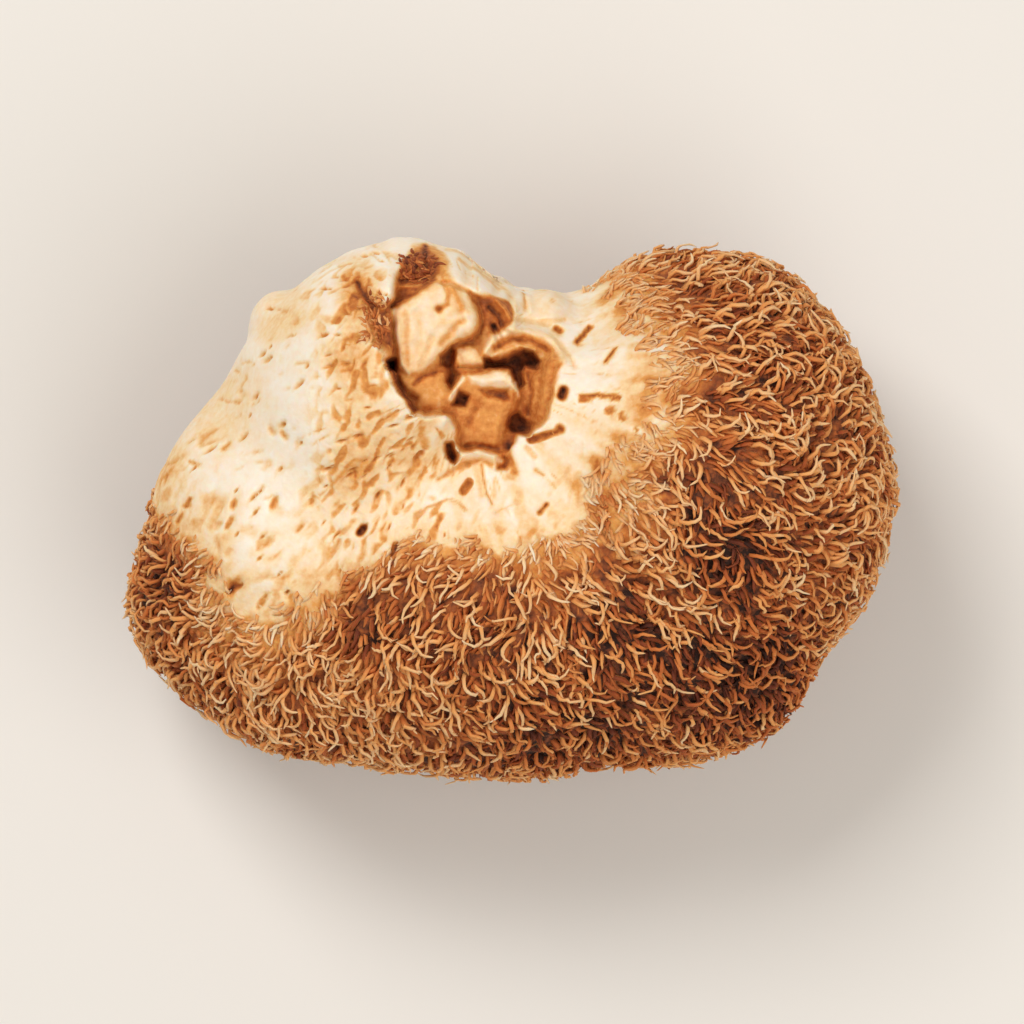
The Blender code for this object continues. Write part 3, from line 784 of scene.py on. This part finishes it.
def make_flesh():
    flesh = add_balls("flesh", LOBES, LOBE_DETAIL)
    melt(flesh, LOBE_VOXEL, LOBE_SMOOTHING)
    raise_lumps(flesh)
    settle(flesh)
    fit_inside(flesh, LOW + MANE_ROOM_LOW, HIGH - MANE_ROOM_HIGH)
    flesh = join("flesh", [flesh, add_balls("bumps", SMALL_LOBES, LOBE_DETAIL)])
    melt(flesh, FLESH_VOXEL, FLESH_SMOOTHING)
    refine(flesh, lambda centres: (mane_depth(centres) < FINE_DEPTH) & (centres[:, 2] > FINE_LOWEST))
    refine(flesh, lambda centres: within(*FINEST_BOX, centres))
    # The torn tone holds the torn flesh's own browns and the painted shade and highlights of the hollow.
    torn, torn_tone_and_shade = tear_open(flesh)
    give_tone(flesh, texture_flesh(flesh, torn, torn_tone_and_shade))
    flesh.data.shade_smooth()
    return flesh


# Strands of the mane, in layers: how many, sides and rings of each tube, shortest and longest, thinnest and
# thickest half width, lowest and highest, turn from the flow, share that is hooked, change of tone and share
# of pale ones.
STRAND_SEED = 21
# The matted layer, lying low, is made darker and the loose layer, lying high, paler: painted shade and
# painted light by height.
MANE_LAYERS = {
    "matted": (12600, 3, 6, (1.1, 2.3), (0.18, 0.28), (-0.10, 0.34), 0.22, 0.40, 0.11, 0.0),
    "loose": (4500, 4, 8, (1.2, 2.8), (0.14, 0.21), (0.28, 0.82), 0.32, 0.70, -0.19, 0.12),
    "rusty": (160, 4, 8, (0.8, 1.8), (0.15, 0.23), (0.0, 0.26), 1.20, 0.70, 0.0, 0.0),
}
STRANDS_A_PIECE = {3: 5200, 4: 3000}
ROOT_SPACING = 0.8
LOWEST_STRAND = 0.12
SWELL_RANGE = 0.82, 1.2
FLATNESS = 0.8
TAPER = 0.12
TIP_TAPER = 0.5

# How the strands lie: tufts that turn together, the bends of each one, and how it rises and sinks.
TUFT_SIZE = 2.6
TUFT_TURN = 1.5
WOBBLE = 0.05
BEND_SPREAD = 0.3
HOOK_SPREAD = 0.5
HOOK_BENDS = 0.8, 1.9
HOOK_START = 0.2
RISE_SHARE = 0.3
SINK_SHARE = 0.2
ROOT_SINK = 0.25
TIP_SHARE = 0.4
TIP_LIFT = -0.5, 0.4
WEAVE_HEIGHT = 0.08
WEAVE_WAVES = 2.0, 5.0

# Near the bare flesh the strands are shorter, thinner and lower.
GROWTH_START = -0.6
GROWTH_DEPTH = 4.5
YOUNG_LENGTH = 0.55
YOUNG_RADIUS = 0.8
YOUNG_TOP = 0.12
LOWEST_TOP = -0.04

# Tones of the strands, and the fringe of low curls on the right.
TONE_SPREAD = 0.06
GROWN_TONE_SPREAD = 0.04
RUSTY_TONE_SPREAD = 0.10
# Pale strands stand for painted highlights on the spines.
PALE_HIGHLIGHT_CHANGE = -0.12
PALEST_PALE_SPINE = 0.15
PALEST_SPINE = 0.22
DARKEST_SPINE = 0.97
FRINGE_DEPTH = 1.0
FRINGE_TONE = 0.21
FRINGE_PALEST = 0.1
FRINGE_WEIGHT = 0.3
FRINGE_START = -3.2
FRINGE_CLUMPS = 0.9, 0.62
UNDERSIDE = 1.5
UNDERSIDE_WEIGHT = 0.3
HOLLOW_BOX = (-10.8, 3.0, 20.0), (3.9, 17.4, 60.0)


def face_tree(piece):
    """The faces of a piece, for finding the nearest point on them."""
    faces = [tuple(p.vertices) for p in piece.data.polygons]
    return BVHTree.FromPolygons([Vector(p) for p in read_points(piece)], faces)


def lay_strand(tree, root, up, style, rings, chance):
    """Walks over the flesh from the root and gives each ring's centre and the way up there."""
    tuft = TUFT_TURN * noise.noise(root / TUFT_SIZE)
    heading = Quaternion(up, tuft + style.turn) @ hang_direction(root, up)
    step = style.length / (rings - 1)
    spot = root
    centres, ups = [], []
    for ring in range(rings):
        share = ring / (rings - 1)
        place, up, _, _ = tree.find_nearest(spot)
        rise = style.top * min(1.0, share / RISE_SHARE) - ROOT_SINK * max(0.0, 1.0 - share / SINK_SHARE)
        rise += style.weave * math.sin(style.phase + share * style.waves)
        rise += style.lift * (max(0.0, share - 1.0 + TIP_SHARE) / TIP_SHARE) ** 2
        centres.append(tuple(place + up * rise))
        ups.append(tuple(up))
        heading = (heading - up * heading.dot(up)).normalized()
        bend = style.bend + style.hook * max(0.0, share - HOOK_START) / (1.0 - HOOK_START)
        heading = Quaternion(up, bend * step + chance.gauss(0.0, WOBBLE)) @ heading
        spot = place + heading * step
    return centres, ups


def mane_style(chance, layer, depth):
    """Shape of one spine of the mane: lower, shorter and half sunk near the bare flesh."""
    _, _, _, lengths, radii, tops, turn, hooked, _, _ = MANE_LAYERS[layer]
    grown = min(1.0, max(0.0, (depth - GROWTH_START) / GROWTH_DEPTH))
    hook = chance.gauss(0.0, HOOK_SPREAD)
    if chance.random() < hooked:
        hook = chance.choice((-1, 1)) * chance.uniform(*HOOK_BENDS)
    return SimpleNamespace(
        length=chance.uniform(*lengths) * (YOUNG_LENGTH + (1 - YOUNG_LENGTH) * grown),
        turn=chance.gauss(0.0, turn),
        top=LOWEST_TOP + (chance.uniform(*tops) - LOWEST_TOP) * (YOUNG_TOP + (1 - YOUNG_TOP) * grown),
        weave=WEAVE_HEIGHT * grown,
        phase=chance.uniform(0.0, math.tau),
        waves=chance.uniform(*WEAVE_WAVES),
        lift=chance.uniform(*TIP_LIFT) * grown,
        bend=chance.gauss(0.0, BEND_SPREAD),
        hook=hook,
        radius=chance.uniform(*radii) * (YOUNG_RADIUS + (1 - YOUNG_RADIUS) * grown),
    )


def build_strands(name, strands, sides, rings):
    """One mesh of tapered tubes. Its UV map holds tone across and place along each strand."""
    count = len(strands)
    centres, ups, radii, tones = (np.array(column) for column in zip(*strands))
    centres[:, :, 2] = np.maximum(centres[:, :, 2], LOWEST_STRAND + radii[:, None])
    along = np.gradient(centres, axis=1)
    along /= np.linalg.norm(along, axis=2, keepdims=True) + 1e-9
    beside = np.cross(along, ups)
    beside /= np.linalg.norm(beside, axis=2, keepdims=True) + 1e-9
    over = np.cross(beside, along)
    share = np.linspace(0.0, 1.0, rings)
    taper = 1.0 - TAPER * share - TIP_TAPER * share ** 4
    angles = (np.arange(sides) + 0.5) / sides * math.tau
    swell = np.random.default_rng(STRAND_SEED).uniform(*SWELL_RANGE, (count, rings))
    ring_radius = (radii[:, None] * taper[None, :] * swell)[:, :, None, None]
    around = (np.cos(angles)[None, None, :, None] * beside[:, :, None, :]
              + FLATNESS * np.sin(angles)[None, None, :, None] * over[:, :, None, :])
    skin = centres[:, :, None, :] + ring_radius * around
    tips = centres[:, -1] + along[:, -1] * radii[:, None] * 0.9
    per_strand = rings * sides + 1
    points = np.concatenate((skin.reshape(count, -1, 3), tips[:, None, :]), axis=1).reshape(-1, 3)
    points = np.clip(points, np.array(LOW), np.array(HIGH))
    ring_no, side_no = np.meshgrid(np.arange(rings - 1), np.arange(sides), indexing="ij")
    first = (ring_no * sides + side_no).ravel()
    second = (ring_no * sides + (side_no + 1) % sides).ravel()
    walls = np.column_stack((first, second, second + sides, first + sides))
    root = np.arange(sides)[::-1][None, :]
    last = (rings - 1) * sides
    point = np.column_stack((last + np.arange(sides), last + (np.arange(sides) + 1) % sides,
                             np.full(sides, rings * sides)))
    offsets = (np.arange(count) * per_strand)[:, None, None]
    faces = [(group[None] + offsets).reshape(-1, group.shape[1]) for group in (walls, point, root)]
    corners = np.concatenate([group.ravel() for group in faces])
    sizes = np.concatenate([np.full(len(group), group.shape[1]) for group in faces])
    starts = np.cumsum(sizes) - sizes
    mesh = bpy.data.meshes.new(name)
    mesh.vertices.add(len(points))
    mesh.vertices.foreach_set("co", (points * MM).ravel())
    mesh.loops.add(len(corners))
    mesh.loops.foreach_set("vertex_index", corners.astype(np.int32))
    mesh.polygons.add(len(starts))
    mesh.polygons.foreach_set("loop_start", starts.astype(np.int32))
    mesh.update(calc_edges=True)
    owner = corners // per_strand
    local = corners % per_strand
    ring_of = np.minimum(local // sides, rings) / rings
    side_of = np.where(local == rings * sides, 0.5, (local % sides) / sides)
    uv = np.column_stack((tones[owner] + 0.02 * side_of, 0.02 + 0.96 * ring_of))
    layer = mesh.uv_layers.new(name="OFBake")
    layer.data.foreach_set("uv", uv.astype(np.float32).ravel())
    mesh.shade_smooth()
    piece = bpy.data.objects.new(name, mesh)
    bpy.context.scene.collection.objects.link(piece)
    return piece


def spread_out(points, rows, count, chance):
    """Picks rows that lie evenly: first one from each small cube of space, and then others."""
    rows = [int(row) for row in rows]
    chance.shuffle(rows)
    cubes = {}
    for row in rows:
        cubes.setdefault(tuple(np.floor(points[row] / ROOT_SPACING).astype(int)), row)
    first = list(cubes.values())
    chance.shuffle(first)
    taken = set(first)
    return (first + [row for row in rows if row not in taken])[:count]


def strand_places(flesh):
    """Where strands may grow, and how dense and dark the mane is there."""
    points = read_points(flesh)
    depth = mane_depth(points)
    island, island_tone = island_depth(points)
    fringe = fringe_share(points)
    strength, least = FRINGE_CLUMPS
    clumps = band("fringe_clumps", depth) + strength * pattern("fringe", points) > least
    low_curls = FRINGE_WEIGHT * fringe * clumps * (depth > FRINGE_START)
    weight = np.maximum(band("planted", depth), low_curls)
    weight = np.where(points[:, 2] < UNDERSIDE, UNDERSIDE_WEIGHT, weight)
    return SimpleNamespace(
        points=points, normals=read_normals(flesh), depth=depth, tone=mane_tone(points, depth),
        fringe=fringe, weight=weight, island=island, island_tone=island_tone)


def strand_tone(chance, layer, row, places):
    """Tone of one strand: near the tone of the mane there, and never white."""
    change, pale = MANE_LAYERS[layer][-2:]
    grown = float(band("grown", places.depth[row]))
    # The layer's change of tone is painted shade for the low matted strands and painted light for the high
    # loose ones.
    tone = places.tone[row] + change * grown + chance.gauss(0.0, TONE_SPREAD + GROWN_TONE_SPREAD * grown)
    if layer == "rusty":
        tone = places.island_tone[row] + chance.gauss(0.0, RUSTY_TONE_SPREAD)
    # A pale strand is a painted highlight.
    if chance.random() < pale * grown:
        return max(tone + PALE_HIGHLIGHT_CHANGE, PALEST_PALE_SPINE)
    in_fringe = FRINGE_TONE * places.fringe[row] * (1 - grown) + FRINGE_PALEST * grown
    return max(tone, PALEST_SPINE * grown, in_fringe)


def make_strands(flesh):
    """All strands: the two layers of the mane and the rusty patches, in several pieces."""
    chance = random.Random(STRAND_SEED)
    tree = face_tree(flesh)
    places = strand_places(flesh)
    in_mane = np.nonzero((places.weight > 0.0) & ~within(*HOLLOW_BOX, places.points))[0]
    in_island = np.nonzero(places.island > 0.1)[0]
    pieces = []
    for layer, (count, sides, rings, *_) in MANE_LAYERS.items():
        keep = in_island if layer == "rusty" else [r for r in in_mane if chance.random() < places.weight[r]]
        strands = []
        for row in spread_out(places.points, keep, count, chance):
            tone = strand_tone(chance, layer, row, places)
            style = mane_style(chance, layer, max(places.depth[row], FRINGE_DEPTH * places.fringe[row]))
            root, normal = Vector(places.points[row]), Vector(places.normals[row])
            centres, ups = lay_strand(tree, root, normal, style, rings, chance)
            strands.append((centres, ups, style.radius, min(max(tone, 0.0), DARKEST_SPINE)))
        share = STRANDS_A_PIECE[sides]
        for part in range(math.ceil(len(strands) / share)):
            some = strands[part * share:(part + 1) * share]
            pieces.append(build_strands(f"mane_{layer}_{part + 1}", some, sides, rings))
    return pieces


def linear(red, green, blue):
    """A screen colour from 0 to 255 as the linear colour that a shader takes."""
    def one(value):
        value /= 255.0
        return value / 12.92 if value <= 0.04045 else ((value + 0.055) / 1.055) ** 2.4
    return (one(red), one(green), one(blue), 1.0)


# Colours along the scale of tones, as screen colours: of the flesh, and of the spines, which are redder.
TONE_STOPS = (0.0, 0.14, 0.30, 0.48, 0.66, 0.84, 1.0)
FLESH_TONES = ((243, 234, 220), (239, 208, 161), (224, 160, 88), (195, 117, 54), (156, 84, 42),
               (108, 58, 35), (50, 28, 20))
SPINE_TONES = ((245, 226, 200), (242, 206, 160), (231, 160, 95), (200, 113, 57), (156, 77, 41),
               (104, 51, 34), (46, 25, 19))
GLOW_RADIUS = (1.0, 0.45, 0.2)
GLOW_DEPTH = 1.2 * MM

# Noises of the materials: waves a millimetre and detail.
BLOTCHES = 0.45, 3.0
SPECKS = 1.9, 2.0
PAPER_GRAIN = 3.2, 3.0
BLOTCH_STRENGTH = 0.12
SPECK_STRENGTH = 0.9, 0.06
GRAIN_STRENGTH = 0.35
GRAIN_DEPTH = 0.12 * MM

# Tone along a spine: darker up to a share of its length, and paler from another; the darker root is partly
# painted shade where it lies low among the other strands, and the paler tip partly a painted highlight.
ROOT_CHANGE = 0.16
ROOT_END = 0.55
TIP_CHANGE = -0.08
TIP_START = 0.7


def tone_scale(nodes, links, value, tones):
    """Turns a tone from 0 to 1 into a colour."""
    ramp = nodes.new("ShaderNodeValToRGB")
    points = ramp.color_ramp.elements
    points[0].position, points[0].color = TONE_STOPS[0], linear(*tones[0])
    points[1].position, points[1].color = TONE_STOPS[-1], linear(*tones[-1])
    for position, colour in zip(TONE_STOPS[1:-1], tones[1:-1]):
        points.new(position).color = linear(*colour)
    links.new(value, ramp.inputs["Fac"])
    return ramp.outputs["Color"]


def new_material(name, roughness, specular, glow=0.0):
    material = bpy.data.materials.new(name)
    material.use_nodes = True
    nodes = material.node_tree.nodes
    shader = nodes["Principled BSDF"]
    shader.inputs["Roughness"].default_value = roughness
    shader.inputs["Specular IOR Level"].default_value = specular
    shader.inputs["Subsurface Weight"].default_value = glow
    shader.inputs["Subsurface Radius"].default_value = GLOW_RADIUS
    shader.inputs["Subsurface Scale"].default_value = GLOW_DEPTH
    return material, nodes, material.node_tree.links, shader


def add_noise(nodes, links, scale, detail):
    """Noise over the piece in its own coordinates. Scale is in waves a millimetre."""
    place = nodes.new("ShaderNodeTexCoord")
    grain = nodes.new("ShaderNodeTexNoise")
    grain.inputs["Scale"].default_value = scale / MM
    grain.inputs["Detail"].default_value = detail
    grain.inputs["Roughness"].default_value = 0.55
    links.new(place.outputs["Object"], grain.inputs["Vector"])
    return grain.outputs["Fac"]


def maths(nodes, links, operation, first, second):
    node = nodes.new("ShaderNodeMath")
    node.operation = operation
    for socket, value in zip(node.inputs, (first, second)):
        if isinstance(value, float):
            socket.default_value = value
        else:
            links.new(value, socket)
    return node.outputs["Value"]


def map_range(nodes, links, value, start, end, low, high):
    """Goes from low to high while the value goes from start to end."""
    node = nodes.new("ShaderNodeMapRange")
    for name, number in (("From Min", start), ("From Max", end), ("To Min", low), ("To Max", high)):
        node.inputs[name].default_value = number
    links.new(value, node.inputs["Value"])
    return node.outputs["Result"]


def dry_flesh():
    """Bare dried flesh: cream to golden and brown along its tone, which also holds painted shade in creases,
    holes, pits and between the spines, with a fine papery grain.
    """
    material, nodes, links, shader = new_material("dry_flesh", 0.7, 0.2, 0.4)
    tone = nodes.new("ShaderNodeAttribute")
    tone.attribute_name = "tone"
    blotches = maths(nodes, links, "SUBTRACT", add_noise(nodes, links, *BLOTCHES), 0.5)
    specks = maths(nodes, links, "SUBTRACT", add_noise(nodes, links, *SPECKS), 0.5)
    strength = maths(nodes, links, "MULTIPLY_ADD", tone.outputs["Fac"], SPECK_STRENGTH[0])
    strength.node.inputs[2].default_value = SPECK_STRENGTH[1]
    change = maths(nodes, links, "ADD", maths(nodes, links, "MULTIPLY", blotches, BLOTCH_STRENGTH),
                   maths(nodes, links, "MULTIPLY", specks, strength))
    shade = maths(nodes, links, "ADD", tone.outputs["Fac"], change)
    links.new(tone_scale(nodes, links, shade, FLESH_TONES), shader.inputs["Base Color"])
    bump = nodes.new("ShaderNodeBump")
    bump.inputs["Strength"].default_value = GRAIN_STRENGTH
    bump.inputs["Distance"].default_value = GRAIN_DEPTH
    links.new(add_noise(nodes, links, *PAPER_GRAIN), bump.inputs["Height"])
    links.new(bump.outputs["Normal"], shader.inputs["Normal"])
    return material


def dry_spine():
    """Dried spines: darker at the root and paler towards the tip."""
    material, nodes, links, shader = new_material("dry_spine", 0.7, 0.15, 0.15)
    place = nodes.new("ShaderNodeUVMap")
    place.uv_map = "OFBake"
    split = nodes.new("ShaderNodeSeparateXYZ")
    links.new(place.outputs["UV"], split.inputs["Vector"])
    along = split.outputs["Y"]
    # Darker root partly painted shade, paler tip partly painted highlight.
    rooted = map_range(nodes, links, along, 0.0, ROOT_END, ROOT_CHANGE, 0.0)
    tipped = map_range(nodes, links, along, TIP_START, 1.0, 0.0, TIP_CHANGE)
    tone = maths(nodes, links, "ADD", split.outputs["X"], rooted)
    tone = maths(nodes, links, "ADD", tone, tipped)
    links.new(tone_scale(nodes, links, tone, SPINE_TONES), shader.inputs["Base Color"])
    return material


# Stage, in metres and watts. Each lamp has its place, size, power and colour.
CAMERA_ELEVATION = math.radians(89.0)
CAMERA_DISTANCE = 0.8
CAMERA_TARGET = Vector((0.0, 0.0, 0.016))
FRAME_WIDTH = 0.079
SENSOR_WIDTH = 36.0
FLOOR_SIZE = 3.0
FLOOR_COLOUR = (0.78, 0.76, 0.73, 1.0)
AIR_COLOUR = (1.0, 0.94, 0.86, 1.0)
AIR_STRENGTH = 0.42
LAMP_TARGET = Vector((0.0, 0.0, 0.015))
LAMPS = {
    "key": ((-0.20, 0.27, 0.48), 0.24, 1.8, (1.0, 0.98, 0.95)),
    "fill": ((0.30, -0.25, 0.5), 0.6, 2.0, (1.0, 0.96, 0.91)),
}


def set_stage():
    bpy.ops.mesh.primitive_plane_add(size=FLOOR_SIZE)
    floor = bpy.context.object
    floor.name = "floor"
    material, _, _, shader = new_material("pale_paper", 0.8, 0.2)
    shader.inputs["Base Color"].default_value = FLOOR_COLOUR
    floor.data.materials.append(material)
    world = bpy.data.worlds.new("soft_room")
    world.use_nodes = True
    world.node_tree.nodes["Background"].inputs["Color"].default_value = AIR_COLOUR
    world.node_tree.nodes["Background"].inputs["Strength"].default_value = AIR_STRENGTH
    bpy.context.scene.world = world
    for name, (place, size, power, colour) in LAMPS.items():
        bpy.ops.object.light_add(type="AREA", location=place)
        lamp = bpy.context.object
        lamp.name = name
        lamp.data.size = size
        lamp.data.energy = power
        lamp.data.color = colour
        lamp.rotation_euler = (LAMP_TARGET - Vector(place)).to_track_quat("-Z", "Y").to_euler()


def set_camera():
    way = Vector((0.0, -math.cos(CAMERA_ELEVATION), math.sin(CAMERA_ELEVATION)))
    bpy.ops.object.camera_add(location=CAMERA_TARGET + way * CAMERA_DISTANCE)
    camera = bpy.context.object
    camera.rotation_euler = (-way).to_track_quat("-Z", "Y").to_euler()
    camera.data.sensor_width = SENSOR_WIDTH
    camera.data.lens = SENSOR_WIDTH * CAMERA_DISTANCE / FRAME_WIDTH
    camera.data.clip_start = 0.01
    bpy.context.scene.camera = camera


def main():
    deselect()
    flesh = make_flesh()
    strands = make_strands(flesh)
    cream = dry_flesh()
    brown = dry_spine()
    for piece, material, slot in [(flesh, cream, "flesh")] + [(piece, brown, "spines") for piece in strands]:
        piece.data.materials.clear()
        piece.data.materials.append(material)
        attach(piece, "root")
    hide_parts("mushroom")
    set_stage()
    set_camera()
    bpy.context.scene.view_settings.view_transform = "Standard"


main()
